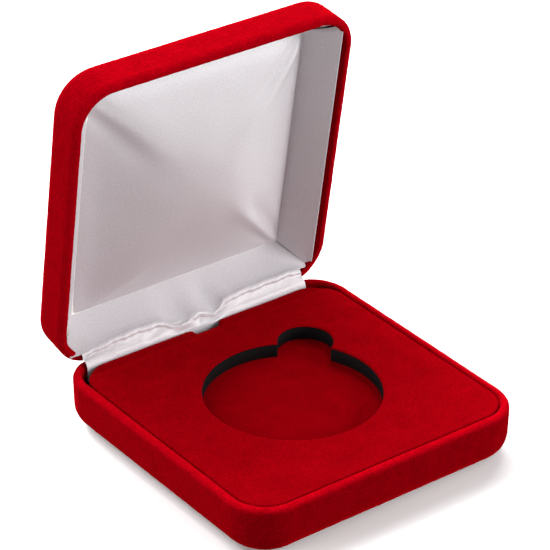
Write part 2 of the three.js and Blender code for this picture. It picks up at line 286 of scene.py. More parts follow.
def build_satin(tree):
    """The satin's shader, with its weave along the cloth's own directions."""
    uv = (add(tree, "ShaderNodeUVMap", uv_map="cloth"), "UV")
    shade = linear(bpy.context.scene.box_colours.satin)
    # The threads are about 0.1 mm apart, and drawn at 0.45 mm so that they show.
    spaced = add(
        tree, "ShaderNodeMapping", {"Vector": uv, "Scale": (1 / 0.45, 1 / 0.45, 1.0)}
    )
    threads = {"Vector": spaced, "Scale": 0.5, "Distortion": 1.2, "Detail": 1.0, "Detail Scale": 2.0}
    warp = add(tree, "ShaderNodeTexWave", threads, bands_direction="X")
    weft = add(tree, "ShaderNodeTexWave", threads, bands_direction="Y")
    slubs = add(
        tree,
        "ShaderNodeTexNoise",
        {"Vector": spaced, "Scale": 0.9, "Detail": 3.0, "Roughness": 0.7},
    )
    weave = add(tree, "ShaderNodeMath", {0: warp, 1: weft}, operation="MULTIPLY")
    height = add(tree, "ShaderNodeMath", {0: weave, 1: slubs}, operation="ADD")
    bump = add(
        tree, "ShaderNodeBump", {"Height": height, "Strength": 0.3, "Distance": 0.12 * MM}
    )
    dark = tuple(c * 0.8 for c in shade[:3]) + (1.0,)
    tone = ramp(tree, slubs, [(0.3, dark), (0.7, shade)])
    return add(
        tree,
        "ShaderNodeBsdfPrincipled",
        {
            "Base Color": tone,
            "Roughness": 0.34,
            "Specular IOR Level": 0.95,
            "Anisotropic": 0.3,
            "Sheen Weight": 0.1,
            "Sheen Roughness": 0.4,
            "Normal": bump,
        },
    )


def satin_material():
    """Acetate satin: long warp floats give a soft broad gloss, and the weave a fine grain."""
    return material("acetate_satin_white", build_satin)


def build_foam(tree, shade, cell, gloss=0.9):
    """A matt shader for anything with small cells, flecks or fibres of that size."""
    where = (add(tree, "ShaderNodeTexCoord"), "Object")
    cells = add(
        tree, "ShaderNodeTexVoronoi", {"Vector": where, "Scale": cycles_in(cell)}
    )
    drift = add(
        tree,
        "ShaderNodeTexNoise",
        {"Vector": where, "Scale": cycles_in(cell * 6), "Detail": 3.0},
    )
    light = tuple(min(1.0, c * 1.3) for c in shade[:3]) + (1.0,)
    tone = ramp(tree, drift, [(0.35, shade), (0.75, light)])
    bump = add(
        tree, "ShaderNodeBump", {"Height": (cells, 0), "Strength": 0.5, "Distance": cell * 0.5}
    )
    return add(
        tree,
        "ShaderNodeBsdfPrincipled",
        {"Base Color": tone, "Roughness": gloss, "Specular IOR Level": 0.12, "Normal": bump},
    )


def foam_material():
    """Black closed-cell foam, die-cut: matt, with fine open cells on the cut."""
    shade = linear(bpy.context.scene.box_colours.foam)
    return material("cut_foam_black", lambda tree: build_foam(tree, shade, 0.3 * MM))


def packing_material():
    """White packing foam: coarser cells than the black foam's."""
    shade = linear(hex_to_srgb("#E2DED6"))
    return material("packing_foam_white", lambda tree: build_foam(tree, shade, 0.9 * MM))


def wadding_material():
    """Polyester wadding: a soft mat of loose fibres."""
    shade = linear(hex_to_srgb("#E9E7E2"))
    return material("polyester_wadding", lambda tree: build_foam(tree, shade, 0.5 * MM, 1.0))


def board_material():
    """Greyboard: pressed paper pulp with flecks and no coating."""
    shade = linear(hex_to_srgb("#A79F90"))
    return material("greyboard", lambda tree: build_foam(tree, shade, 0.6 * MM, 0.88))


def build_steel(tree):
    """The steel's shader: its roughness follows lines drawn out along X."""
    where = (add(tree, "ShaderNodeTexCoord"), "Object")
    stretched = add(
        tree, "ShaderNodeMapping", {"Vector": where, "Scale": (300.0, 4000.0, 4000.0)}
    )
    lines = add(tree, "ShaderNodeTexNoise", {"Vector": stretched, "Scale": 1.0, "Detail": 2.0})
    worn = ramp(tree, lines, [(0.3, (0.22, 0.22, 0.22, 1)), (0.8, (0.42, 0.42, 0.42, 1))])
    bump = add(
        tree, "ShaderNodeBump", {"Height": lines, "Strength": 0.1, "Distance": 0.05 * MM}
    )
    return add(
        tree,
        "ShaderNodeBsdfPrincipled",
        {
            "Base Color": linear(hex_to_srgb("#C9C7C2")),
            "Metallic": 1.0,
            "Roughness": worn,
            "Normal": bump,
        },
    )


def steel_material():
    """Nickel-plated mild steel strip and wire: grey-yellow, with rolling lines along X."""
    return material("nickel_plated_steel", build_steel)


# ---- Mesh tools ----
def mesh_object(name, points, faces, made_of, cloth=None, rim=None):
    """A smooth-shaded mesh object. For each point, cloth is a UV pair, and rim is 1 on a rim's crest,
    where the flock is painted lighter as a highlight.
    """
    mesh = bpy.data.meshes.new(name)
    mesh.from_pydata([tuple(p) for p in np.asarray(points)], [], [tuple(f) for f in faces])
    mesh.validate()
    if cloth is not None:
        layer = mesh.uv_layers.new(name="cloth")
        corners = np.zeros(len(mesh.loops), np.int32)
        mesh.loops.foreach_get("vertex_index", corners)
        layer.data.foreach_set("uv", np.asarray(cloth, np.float32)[corners].ravel())
    if rim is not None:
        mesh.attributes.new("rim", "FLOAT", "POINT").data.foreach_set("value", rim)
    mesh.polygons.foreach_set("use_smooth", np.ones(len(mesh.polygons), bool))
    mesh.materials.append(made_of)
    mesh.update()
    made = bpy.data.objects.new(name, mesh)
    bpy.context.scene.collection.objects.link(made)
    return made


# A fold sharper than this is pressed into the cloth, and isn't shaded as a round.
PRESSED = math.radians(35)


def weld(piece):
    """Joins the points that lie on each other, so that a sheet made of parts is one surface."""
    sheet = bmesh.new()
    sheet.from_mesh(piece.data)
    bmesh.ops.remove_doubles(sheet, verts=sheet.verts, dist=0.002 * MM)
    bmesh.ops.recalc_face_normals(sheet, faces=sheet.faces)
    for edge in sheet.edges:
        edge.smooth = edge.calc_face_angle(0) < PRESSED
    sheet.to_mesh(piece.data)
    sheet.free()


def grid_faces(rows, columns, wrap=False, flip=False, start=0):
    """Quads of a grid of rows x columns points; wrap joins the last column to the first."""
    r = np.arange(rows - 1)[:, None]
    c = np.arange(columns if wrap else columns - 1)[None, :]
    across = (c + 1) % columns
    quads = np.stack(
        [r * columns + c, r * columns + across, (r + 1) * columns + across, (r + 1) * columns + c],
        axis=-1,
    ).reshape(-1, 4)
    return (quads[:, ::-1] if flip else quads) + start


def smoothstep(low, high, value):
    """0 at low and 1 at high, with a soft start and end."""
    t = np.clip((value - low) / (high - low), 0, 1)
    return t * t * (3 - 2 * t)


def soft_min(a, b, width):
    """The lesser of two, rounded over where they are within width."""
    return (a + b - np.sqrt((a - b) ** 2 + width**2)) / 2


def lumps(points, size, seed=0.0):
    """Smooth noise from -1 to 1 at each point, with lumps of about that size."""
    shift = Vector((seed, seed * 1.7, seed * 0.6))
    return np.array([noise.noise(Vector(p) / size + shift) for p in points])


def grid_normals(grid, wrap_columns=False):
    """Unit normals of a grid of points, pointing along (row step) x (column step)."""
    down = np.gradient(grid, axis=0)
    if wrap_columns:
        across = np.roll(grid, -1, axis=1) - np.roll(grid, 1, axis=1)
    else:
        across = np.gradient(grid, axis=1)
    normal = np.cross(across, down)
    return normal / np.maximum(np.linalg.norm(normal, axis=-1, keepdims=True), 1e-12)


def rounded_square(half_x, front, back, radius, side_steps, corner_steps):
    """Points round a rounded rectangle, anticlockwise from the front of its +X side."""
    radius = min(radius, half_x * 0.98, (back - front) * 0.49)
    centres = [
        (half_x - radius, back - radius),
        (radius - half_x, back - radius),
        (radius - half_x, front + radius),
        (half_x - radius, front + radius),
    ]
    points = []
    for quarter, (cx, cy) in enumerate(centres):
        a0 = quarter * math.pi / 2
        px, py = centres[quarter - 1]
        begin = np.array([px + radius * math.cos(a0), py + radius * math.sin(a0)])
        end = np.array([cx + radius * math.cos(a0), cy + radius * math.sin(a0)])
        t = np.arange(side_steps)[:, None] / side_steps
        points.append(begin + (end - begin) * t)
        a = a0 + np.arange(corner_steps) / corner_steps * math.pi / 2
        points.append(np.stack([cx + radius * np.cos(a), cy + radius * np.sin(a)], axis=1))
    return np.concatenate(points)


def arc(cx, cy, radius, start, end, step):
    """Points of an arc in a plane; angles in degrees."""
    count = max(3, int(abs(math.radians(end - start)) * radius / step) + 2)
    a = np.radians(np.linspace(start, end, count))
    return np.stack([cx + radius * np.cos(a), cy + radius * np.sin(a)], axis=1)


def evenly(points, step):
    """The same open outline with its points a step apart."""
    lengths = np.linalg.norm(np.diff(points, axis=0), axis=1)
    along = np.concatenate([[0], np.cumsum(lengths)])
    count = max(2, int(round(along[-1] / step)) + 1)
    at = np.linspace(0, along[-1], count)
    return np.stack([np.interp(at, along, points[:, i]) for i in range(points.shape[1])], axis=1)


# ---- Shells ----
SHELL_SIDE_STEPS = 150
SHELL_CORNER_STEPS = 42
SHELL_STEP = 0.42 * MM


def tray_profile(height, foot, draft, floor):
    """(inset, height) down the middle of a tray's section, from under it to inside it."""
    sizes = bpy.context.scene.box_sizes
    wall, rim, brow = sizes.wall, sizes.rim_radius, sizes.rim_outer
    lean = draft * height
    outer = np.concatenate(
        [
            arc(foot, foot, foot, 270, 180, SHELL_STEP),
            arc(brow, height - brow, brow, 180, 90, SHELL_STEP * 0.6),
        ]
    )
    outer[:, 0] += draft * (height - outer[:, 1])
    inner_foot = max(foot - wall, MM)
    inner = np.concatenate(
        [
            arc(wall - rim, height - rim, rim, 90, 0, SHELL_STEP * 0.6),
            arc(wall + inner_foot, floor + inner_foot, inner_foot, 180, 270, SHELL_STEP * 2),
        ]
    )
    under = np.array([[inset, 0.0] for inset in np.linspace(SIDE / 2 - 4 * MM, foot + lean, 14)])
    across = [[inset, floor] for inset in np.linspace(wall + inner_foot, SIDE / 2 - 4 * MM, 6)]
    shown = evenly(np.concatenate([under[-1:], outer[1:], inner[:6]]), SHELL_STEP)
    hidden = evenly(np.concatenate([shown[-1:], inner[6:]]), 1.4 * MM)
    return np.concatenate([under[:-1], shown, hidden[1:], np.array(across)[1:]])


def tray_grid(profile):
    """Rings of points round a shell, one for each point of its profile."""
    radius = bpy.context.scene.box_sizes.corner_radius
    rings = []
    for inset, z in profile:
        half = SIDE / 2 - inset
        plan = rounded_square(
            half, -half, half, max(radius - inset, 0.6 * MM), SHELL_SIDE_STEPS, SHELL_CORNER_STEPS
        )
        rings.append(np.column_stack([plan, np.full(len(plan), z)]))
    return np.stack(rings)


def relieve(grid, up):
    """Gives up what the hinge needs: the slope behind the pin, the barrel's groove, the leaf's seat."""
    slope = math.radians(42.5)
    clear = 0.12 * MM
    y, z = grid[..., 1] - PIVOT[1], up * (grid[..., 2] - PIVOT[2])
    cut = clear + np.maximum(y, 0) * math.tan(slope)
    behind = smoothstep(-0.2 * MM, 0.1 * MM, y)
    raised = -soft_min(-z, -cut, 0.35 * MM)
    z = z + (raised - z) * behind
    by_leaf = np.abs(grid[..., 0]) < LEAF_HALF + 1.4 * MM
    reach = np.hypot(y, z)
    groove = 1.55 * MM
    push = np.where(by_leaf & (reach < groove), groove / np.maximum(reach, 1e-6), 1.0)
    y, z = y * push, z * push
    seat = by_leaf & (z < 9 * MM) & (y < -0.4 * MM) & (y > -1.2 * MM)
    y = np.where(seat, -0.4 * MM, y)
    out = grid.copy()
    out[..., 1] = y + PIVOT[1]
    out[..., 2] = up * z + PIVOT[2]
    return out


def flocked_tray(name, profile, up, seed):
    """A shell with its nap, mouth up for the base (up = -1) and mouth down for the lid (up = 1)."""
    grid = tray_grid(profile)
    sizes = bpy.context.scene.box_sizes
    top = profile[:, 1].max()
    # The crest of each rim, where the flock's colour is painted lighter as a highlight for the sheen
    # there.
    rim_highlight_mask = smoothstep(top - 1.5 * MM, top - 0.2 * MM, profile[:, 1])
    rim_highlight_mask = rim_highlight_mask * smoothstep(sizes.wall, sizes.wall - sizes.rim_radius, profile[:, 0])
    if up > 0:
        grid[..., 2] = LID_RIM_Z + LID_H - grid[..., 2]
    grid = relieve(grid, up)
    rows, columns = grid.shape[:2]
    normal = grid_normals(grid, wrap_columns=True) * (-1 if up < 0 else 1)
    flat = grid.reshape(-1, 3)
    raised = sizes.nap * (lumps(flat, 1.1 * MM, seed) + 0.8 * lumps(flat, 6 * MM, seed + 5))
    points = flat - normal.reshape(-1, 3) * raised[:, None]
    if up < 0:
        points[:, 2] = np.maximum(points[:, 2], 0)
    faces = [tuple(f) for f in grid_faces(rows, columns, wrap=True, flip=up > 0)]
    first = list(range(columns))
    last = list(range((rows - 1) * columns, rows * columns))
    if up > 0:
        faces += [tuple(first), tuple(last[::-1])]
        points = opened(points)
    else:
        faces += [tuple(first[::-1]), tuple(last)]
    return mesh_object(name, points, faces, flock_material(), rim=np.repeat(rim_highlight_mask, columns))


# ---- Insert ----
def union_of_circles(grow):
    """The recess's outline: its circle and the finger notch's, both grown by that much."""
    sizes = bpy.context.scene.box_sizes
    centre = np.array([0, (PAD_LOW[1] + PAD_HIGH[1]) / 2])
    out = sizes.notch_reach / math.sqrt(2)
    a, b = sizes.recess_radius + grow, sizes.notch_radius + grow
    reach = sizes.notch_reach
    along = (reach**2 + a**2 - b**2) / (2 * reach)
    half = math.degrees(math.acos(along / a))
    other = math.degrees(math.acos((reach - along) / b))
    circle = arc(*centre, a, 45 + half, 45 + 360 - half, 0.5 * MM)
    notch = arc(centre[0] + out, centre[1] + out, b, 45 - 180 + other, 45 + 180 - other, 0.4 * MM)
    return np.concatenate([circle[:-1], notch[:-1]])


def pad_outline(shrink):
    """The insert's outline, with the spring's notch in its back edge."""
    corner = 8.7 * MM - shrink
    half, front, back = PAD_HIGH[0] - shrink, PAD_LOW[1] + shrink, PAD_HIGH[1] - shrink
    left, right = -3.6 * MM - shrink, 4.5 * MM + shrink
    depth = 1.8 * MM
    bite = 0.9 * MM + shrink
    outline = [
        arc(half - corner, front + corner, corner, -90, 0, 0.5 * MM),
        arc(half - corner, back - corner, corner, 0, 90, 0.5 * MM),
        arc(right + 0.6 * MM, back - 0.6 * MM, 0.6 * MM, 90, 180, 0.3 * MM),
        arc(right - bite, back - depth + bite, bite, 0, -90, 0.3 * MM),
        arc(left + bite, back - depth + bite, bite, 270, 180, 0.3 * MM),
        arc(left - 0.6 * MM, back - 0.6 * MM, 0.6 * MM, 0, 90, 0.3 * MM),
        arc(corner - half, back - corner, corner, 90, 180, 0.5 * MM),
        arc(corner - half, front + corner, corner, 180, 270, 0.5 * MM),
    ]
    joined = np.concatenate(outline)
    return evenly(np.vstack([joined, joined[:1]]), 0.8 * MM)[:-1]


def inside(points, outline):
    """Which points lie inside a closed outline."""
    x, y = points[:, 0][:, None], points[:, 1][:, None]
    x0, y0 = outline[:, 0][None], outline[:, 1][None]
    x1, y1 = np.roll(outline[:, 0], -1)[None], np.roll(outline[:, 1], -1)[None]
    crosses = (y0 > y) != (y1 > y)
    at = x0 + (y - y0) * (x1 - x0) / np.where(y1 == y0, 1, y1 - y0)
    return (np.sum(crosses & (x < at), axis=1) % 2) == 1


def plate(name, made_of, z0, z1, edge, outline, holes, spacing, rise=None):
    """A flat piece with rounded top edges. outline and holes give a closed curve for an inset."""
    insets = [0.0, edge * 0.3, edge, edge * 2.2]
    drops = [edge, edge * 0.3, 0.0, 0.0]
    loops = [[outline(i) for i in insets]] + [[hole(i) for i in insets] for hole in holes]
    outer, inners = loops[0][-1], [loop[-1] for loop in loops[1:]]
    xs = np.arange(outer[:, 0].min(), outer[:, 0].max(), spacing)
    ys = np.arange(outer[:, 1].min(), outer[:, 1].max(), spacing)
    grid = np.array([(x, y) for i, y in enumerate(ys) for x in xs + (i % 2) * spacing / 2])
    core_outline = outline(insets[-1] + spacing * 0.6)
    keep = inside(grid, core_outline)
    for hole in holes:
        keep &= ~inside(grid, hole(insets[-1] + spacing * 0.6))
    grid = grid[keep]
    rims = [outer, *inners]
    flat = np.concatenate([*rims, grid])
    edges, start = [], 0
    for rim in rims:
        count = len(rim)
        edges += [(start + i, start + (i + 1) % count) for i in range(count)]
        start += count
    made = delaunay_2d_cdt([Vector(p) for p in flat], edges, [], 0, 1e-9)
    points2, triangles = np.array([tuple(p) for p in made[0]]), made[2]
    middles = np.array([points2[list(t)].mean(0) for t in triangles])
    kept = inside(middles, outer)
    for rim in inners:
        kept &= ~inside(middles, rim)
    triangles = [tuple(t) for t, k in zip(triangles, kept) if k]
    top = np.column_stack([points2, np.full(len(points2), z1)])
    if rise is not None:
        top[:, 2] += rise(top)
    points, faces = list(top), list(triangles)
    faces += [tuple(i + len(top) for i in reversed(t)) for t in triangles]
    points += [(p[0], p[1], z0) for p in top]
    # The rounded edge and the wall, ring by ring, from the flat top out and down to the bottom.
    order = 0
    for number, loop in enumerate(loops):
        count = len(loop[-1])
        index = np.arange(count) + order
        order += count
        rings = [list(index)]
        for ring, drop in zip(loop[-2::-1], drops[-2::-1]):
            rings.append([len(points) + i for i in range(count)])
            near = top[index, 2]
            points += [(p[0], p[1], h - drop) for p, h in zip(ring, near)]
        rings.append([len(points) + i for i in range(count)])
        points += [(p[0], p[1], z0 + edge * 0.3) for p in loop[0]]
        rings.append([i + len(top) for i in index])
        for a, b in zip(rings, rings[1:]):
            for i in range(count):
                j = (i + 1) % count
                quad = (a[i], b[i], b[j], a[j])
                faces.append(quad if number == 0 else quad[::-1])
    return mesh_object(name, np.array(points), faces, made_of)


def resampled(curve, count):
    """A closed curve with exactly that many points."""
    closed = np.vstack([curve, curve[:1]])
    lengths = np.linalg.norm(np.diff(closed, axis=0), axis=1)
    along = np.concatenate([[0], np.cumsum(lengths)])
    at = np.linspace(0, along[-1], count + 1)[:-1]
    return np.stack([np.interp(at, along, closed[:, i]) for i in range(2)], axis=1)


def pad_rise(points):
    """The insert's face: nearly flat, with its glued-down back edge curling up behind a groove."""
    behind = (PAD_HIGH[1] - points[:, 1]) / MM
    lip = 0.34 * np.exp(-((behind / 1.3) ** 2)) - 0.30 * np.exp(-(((behind - 2.6) / 0.7) ** 2))
    return (lip + 0.10 * lumps(points, 14 * MM, 3.0)) * MM


def floor_rise(points):
    """The recess's floor: velvet glued on card, nearly flat."""
    return 0.08 * MM * lumps(points, 10 * MM, 6.0)


def insert_outline(shrink):
    """The insert's outline with a fixed number of points."""
    return resampled(pad_outline(shrink), 420)


def recess_outline(grow):
    """The recess's outline with a fixed number of points."""
    return resampled(union_of_circles(grow), 300)


# ---- Lining ----
CEILING_STEPS = 150
WALL_STEPS = 26
# How far in from the shell's outside the lining is creased, at the hinge and at the far side.
HINGE_CREASE_IN = 9.3 * MM
FAR_CREASE_IN = 9.0 * MM
# Where the wadding's peak is, off the middle of the lid.
PEAK_X, PEAK_Y = 3.2 * MM, -2.0 * MM


def pull(x, y, start, end, lift, wide, narrow):
    """A fold in the satin: how far a straight crease from start to end lifts it."""
    (ax, ay), (bx, by) = np.array(start) * MM, np.array(end) * MM
    run = math.hypot(bx - ax, by - ay)
    ux, uy = (bx - ax) / run, (by - ay) / run
    along = ((x - ax) * ux + (y - ay) * uy) / run
    off = (x - ax) * uy - (y - ay) * ux
    width = (wide + (narrow - wide) * np.clip(along, 0, 1)) * MM
    fade = smoothstep(-0.05, 0.45, along) * smoothstep(1.06, 0.9, along)
    return lift * MM * fade * np.exp(-((off / width) ** 2))


def cushioned(x, y, half_x, front, back):
    """How far the wadding lifts the satin off its creases: a soft four-sided peak with folds."""
    rise = bpy.context.scene.box_sizes.cushion_rise
    left, right, far, near = x + half_x, half_x - x, y - front, back - y
    # On the left the satin lies flat on the card for a few millimetres before it rises.
    flat = 3.6 * MM
    soft = 1.3 * MM
    risen = soft * np.logaddexp(0, (left - flat) / soft)
    sides = [
        risen / (half_x + PEAK_X - flat),
        right / (half_x - PEAK_X),
        far / (PEAK_Y - front),
        near / (back - PEAK_Y),
    ]
    least = np.clip(np.minimum.reduce(sides), 0, 1)
    width = 0.02 + 0.22 * least
    tent = soft_min(soft_min(sides[0], sides[1], width), soft_min(sides[2], sides[3], width), width)
    # The mat is full: it rises steeply from the creases and flattens towards its peak.
    tent = np.clip(tent, 0, None)
    height = rise * (tent + 0.8 * tent * (1 - tent)) / 0.88
    rolls = [(left, 6.0), (right, 1.1), (far, 2.4), (near, 2.0)]
    edge = np.ones_like(x)
    for distance, reach in rolls:
        edge = edge * (1 - np.exp(-np.clip(distance, 0, None) / (reach * MM)))
    height = height + 1.15 * MM * edge
    folds = (
        ((11.0, -16.5), (30.4, -32.2), -0.48, 2.6, 1.0),
        ((6.0, -7.0), (32.3, -31.8), 0.50, 4.2, 1.2),
        ((8.0, 6.0), (32.7, 33.4), 0.66, 3.2, 0.9),
        ((17.0, 9.5), (32.3, 30.0), -0.72, 3.6, 1.2),
        ((14.0, 17.5), (31.5, 33.2), -0.28, 2.6, 1.0),
        ((-8.0, 20.5), (-32.6, 33.5), 0.22, 2.0, 0.8),
        ((-18.0, 23.0), (-32.6, 31.8), -0.22, 3.0, 1.2),
        ((-8.0, -9.0), (-32.4, -32.6), 0.34, 3.6, 1.1),
        ((-14.0, -10.0), (-32.4, -29.0), -0.40, 4.6, 1.8),
    )
    hold = np.ones_like(x)
    for distance in (left, right, far, near):
        hold = hold * (1 - np.exp(-np.clip(distance, 0, None) / (0.9 * MM)))
    for fold in folds:
        height = height + hold * pull(x, y, *fold)
    return height


def satin_ceiling(steps, sink=0.0):
    """The padded middle of the lining, as a grid of points in the shut lid."""
    sizes = bpy.context.scene.box_sizes
    half_x = SIDE / 2 - sizes.crease_in
    back, front = SIDE / 2 - HINGE_CREASE_IN, FAR_CREASE_IN - SIDE / 2
    # Points crowd towards the creases, where the satin turns.
    u = np.linspace(-1, 1, steps + 1)
    u = 0.75 * u + 0.25 * np.sin(u * math.pi / 2)
    x, y = np.meshgrid(u * half_x, (front + back) / 2 + u * (back - front) / 2)
    depth = sizes.crease_depth - cushioned(x, y, half_x, front, back) + sink
    grid = np.stack([x, y, depth], axis=-1)
    ripple = lumps(grid.reshape(-1, 3), 9 * MM, 2.0).reshape(x.shape)
    edge = np.minimum.reduce([x + half_x, half_x - x, y - front, back - y]) / (3 * MM)
    grid[..., 2] += 0.10 * MM * ripple * np.clip(edge, 0, 1) + LID_RIM_Z
    return grid


def bell(x, centre, width):
    """A smooth bump of height 1; x is in metres, and centre and width are in millimetres."""
    return np.exp(-(((x / MM - centre) / width) ** 2))


def valley(x):
    """(y, z), open, of the fold where the lining meets the satin that crosses the hinge.

    It runs straight along most of the hinge and droops at both ends. In the middle the bow spring
    drags it forward and down in two dips, one on each side of the spring.
    """
    left_end = smoothstep(-20 * MM, -42 * MM, x)
    right_end = smoothstep(30 * MM, 42 * MM, x)
    waver = 0.12 * np.sin(0.9 * x / MM) + 0.08 * np.sin(2.3 * x / MM + 1)
    forward = 0.2 * left_end + 0.8 * right_end - 0.25 * bell(x, 0, 8) + waver
    forward = forward - 1.0 * bell(x, -6, 5) - 1.15 * bell(x, 4.5, 4.2)
    up = -1.75 * left_end - 1.75 * right_end - 0.35 * bell(x, 0, 14) + 0.6 * waver
    up = up - 1.9 * bell(x, -6, 4.5) - 2.2 * bell(x, 4.5, 3.6)
    return (41.0 + forward) * MM, (18.4 + up) * MM


def side_wall(edge, outward, reach, ends, rim_depth):
    """A sloped wall of the lining in the shut lid, from its crease out to the rim, over the card.

    ends says how far the wall's foot runs to either side of the middle.
    """
    count = len(edge)
    tangent = np.array([-outward[1], outward[0]])
    s = np.linspace(-1, 1, count)
    # The corners at the far side are rounded, and those at the hinge are cut square.
    radius = np.where(s * tangent[1] > 0, 0.4, 2.6) * MM
    side = np.where(s < 0, ends[0], ends[1]) - radius
    run = s * (side + radius * math.pi / 4)
    angle = (np.abs(run) - side).clip(0) / radius
    along = np.clip(run, -side, side) + np.sign(run) * radius * np.sin(angle)
    inward = radius * (1 - np.cos(angle))
    foot = outward * (reach - inward[:, None]) + tangent * along[:, None]
    # The right wall stands up from its crease and flares; the others hang in a little.
    bow = (-0.55 if outward[0] > 0 else 0.30) * MM
    rows = [edge]
    for t in np.linspace(0, 1, WALL_STEPS + 1)[1:]:
        flat = edge[:, :2] + (foot - edge[:, :2]) * t
        deep = edge[:, 2] + (LID_RIM_Z + rim_depth - edge[:, 2]) * t
        sag = bow * math.sin(math.pi * t)
        rows.append(np.column_stack([flat, deep + sag]))
    bend = 0.18 * MM
    for a in np.linspace(0, math.pi, 6)[1:]:
        out, drop = bend * (1 - math.cos(a)), bend * math.sin(a)
        deep = np.zeros(count) + LID_RIM_Z + rim_depth - drop
        rows.append(np.column_stack([foot + outward * out, deep]))
    for extra in (0.8 * MM, 1.6 * MM):
        deep = np.zeros(count) + LID_RIM_Z + rim_depth + extra
        rows.append(np.column_stack([foot + outward * 2 * bend, deep]))
    return np.stack(rows)


def wall_line(x, t, crease):
    """(y, z), open, of the hinge wall: t is 0 at its crease and 1 at its foot. crease is (y, z)."""
    y, z = valley(x)
    right, left = smoothstep(36 * MM, 40 * MM, x), smoothstep(-33 * MM, -38 * MM, x)
    y = y + 0.15 * MM + 1.0 * MM * right
    z = z + 0.03 * MM + 0.2 * MM * right - 0.2 * MM * left
    middle = 18.35 * MM + 0.3 * (z - 18.3 * MM)
    out_y = (1 - t) ** 2 * crease[0] + 2 * t * (1 - t) * 43.4 * MM + t**2 * y
    out_z = (1 - t) ** 2 * crease[1] + 2 * t * (1 - t) * middle + t**2 * z
    pucker = np.sin(x * 1.3 / MM + 4 * t) * np.exp(-(((x + 4 * MM) / (8 * MM)) ** 2))
    out_z = out_z + (0.10 * pucker + 0.04 * np.sin(x * 0.8 / MM)) * t**6 * MM
    return out_y, out_z


def hinge_wall(edge):
    """The wall on the hinge's side: it runs down over the card and under the hinge's satin."""
    count = len(edge)
    start = opened(edge)
    x = np.linspace(-39.3 * MM, 39.9 * MM, count)
    leftward = smoothstep(0.0, 1.0, -np.linspace(-1, 1, count))
    pinch = smoothstep(0.93, 1.0, np.linspace(0, 1, count))
    rows = []
    for t in np.linspace(0, 1, WALL_STEPS + 9):
        # Its left edge follows the left wall, and its right edge runs straight to the rim.
        share = (1 - t) ** 2 + 0.9 * t * (1 - t)
        share = share + ((1 - t) ** 2.4 - share) * leftward
        across = share * start[:, 0] + (1 - share) * x
        y, z = wall_line(across, t, (start[:, 1], start[:, 2]))
        # The mitre at the right-hand corner stands open a little more towards the rim.
        across = across - (0.10 + 0.55 * t) * pinch * MM
        rows.append(np.column_stack([across, y, z + 0.25 * t * pinch * MM]))
    bend = 0.15 * MM
    for a in np.linspace(0, math.radians(190), 7)[1:]:
        row = rows[WALL_STEPS + 8].copy()
        row[:, 1] -= bend * math.sin(a)
        row[:, 2] -= bend * (1 - math.cos(a))
        rows.append(row)
    tail = rows[-1].copy()
    tail[:, 1] += 0.9 * MM
    tail[:, 2] -= 0.1 * MM
    rows.append(tail)
    return turn_about_pin(np.stack(rows), OPEN_ANGLE)


def build_lining():
    """The satin on the card and wadding, in the shut lid: points, faces and cloth places."""
    ceiling = satin_ceiling(CEILING_STEPS)
    # The left and far walls touch the shell, and the right one stops short of it.
    loose, tight = SIDE / 2 - 4.2 * MM, SIDE / 2 - 3.25 * MM
    # Along the far side the satin's edge is tucked behind the rim, and lifts at its right end.
    tucked = (1.7 - 1.3 * smoothstep(26, 37, ceiling[0, :, 0] / MM)) * MM
    walls = [
        (side_wall(ceiling[:, -1], np.array([1.0, 0.0]), loose, (tight, loose), 0.45 * MM), (1, 0)),
        (side_wall(ceiling[::-1, 0], np.array([-1.0, 0.0]), tight, (loose, tight), 1.8 * MM), (-1, 0)),
        (side_wall(ceiling[0], np.array([0.0, -1.0]), tight, (tight, loose), tucked), (0, -1)),
        (hinge_wall(ceiling[-1]), (0, 1)),
    ]
    points, cloth = [ceiling.reshape(-1, 3)], [ceiling[..., :2].reshape(-1, 2)]
    faces = [grid_faces(*ceiling.shape[:2], flip=True)]
    start = len(points[0])
    for grid, outward in walls:
        steps = np.linalg.norm(np.diff(grid, axis=0), axis=2)
        distance = np.vstack([np.zeros(grid.shape[1]), np.cumsum(steps, axis=0)])
        place = grid[:1, :, :2] + np.array(outward) * distance[..., None]
        points.append(grid.reshape(-1, 3))
        cloth.append(place.reshape(-1, 2))
        flip = outward in ((1, 0), (-1, 0))
        faces.append(grid_faces(*grid.shape[:2], flip=not flip, start=start))
        start += len(points[-1])
    return np.concatenate(points), np.concatenate(faces), np.concatenate(cloth) / MM


def build_frayed_ends():
    """A few loose threads at the hinge wall's cut corner, open: thin three-sided tubes."""
    random = np.random.default_rng(4)
    y, z = valley(np.array([39.6 * MM]))
    root = np.array([39.5 * MM, y[0] + 1.1 * MM, z[0] + 0.25 * MM])
    points, faces = [], []
    for _ in range(11):
        begin = root + random.uniform(-1, 1, 3) * np.array([0.35, 0.5, 0.15]) * MM
        way = np.array([random.uniform(0.2, 1), random.uniform(-0.9, 0.3), random.uniform(-0.5, 0.7)])
        curl = random.uniform(-1, 1, 3) * 0.7
        size = random.uniform(0.7, 1.5) * MM
        start = len(points)
        for t in np.linspace(0, 1, 7):
            at = begin + (way * t + curl * t * t * 0.5) * size
            for corner in range(3):
                turn = corner * math.tau / 3
                thick = 0.05 * MM * (1 - 0.6 * t)
                points.append(at + np.array([0, math.cos(turn), math.sin(turn)]) * thick)
        faces += [tuple(f) for f in grid_faces(7, 3, wrap=True, start=start)]
        faces += [(start + 2, start + 1, start), (start + 18, start + 19, start + 20)]
    return np.array(points), faces


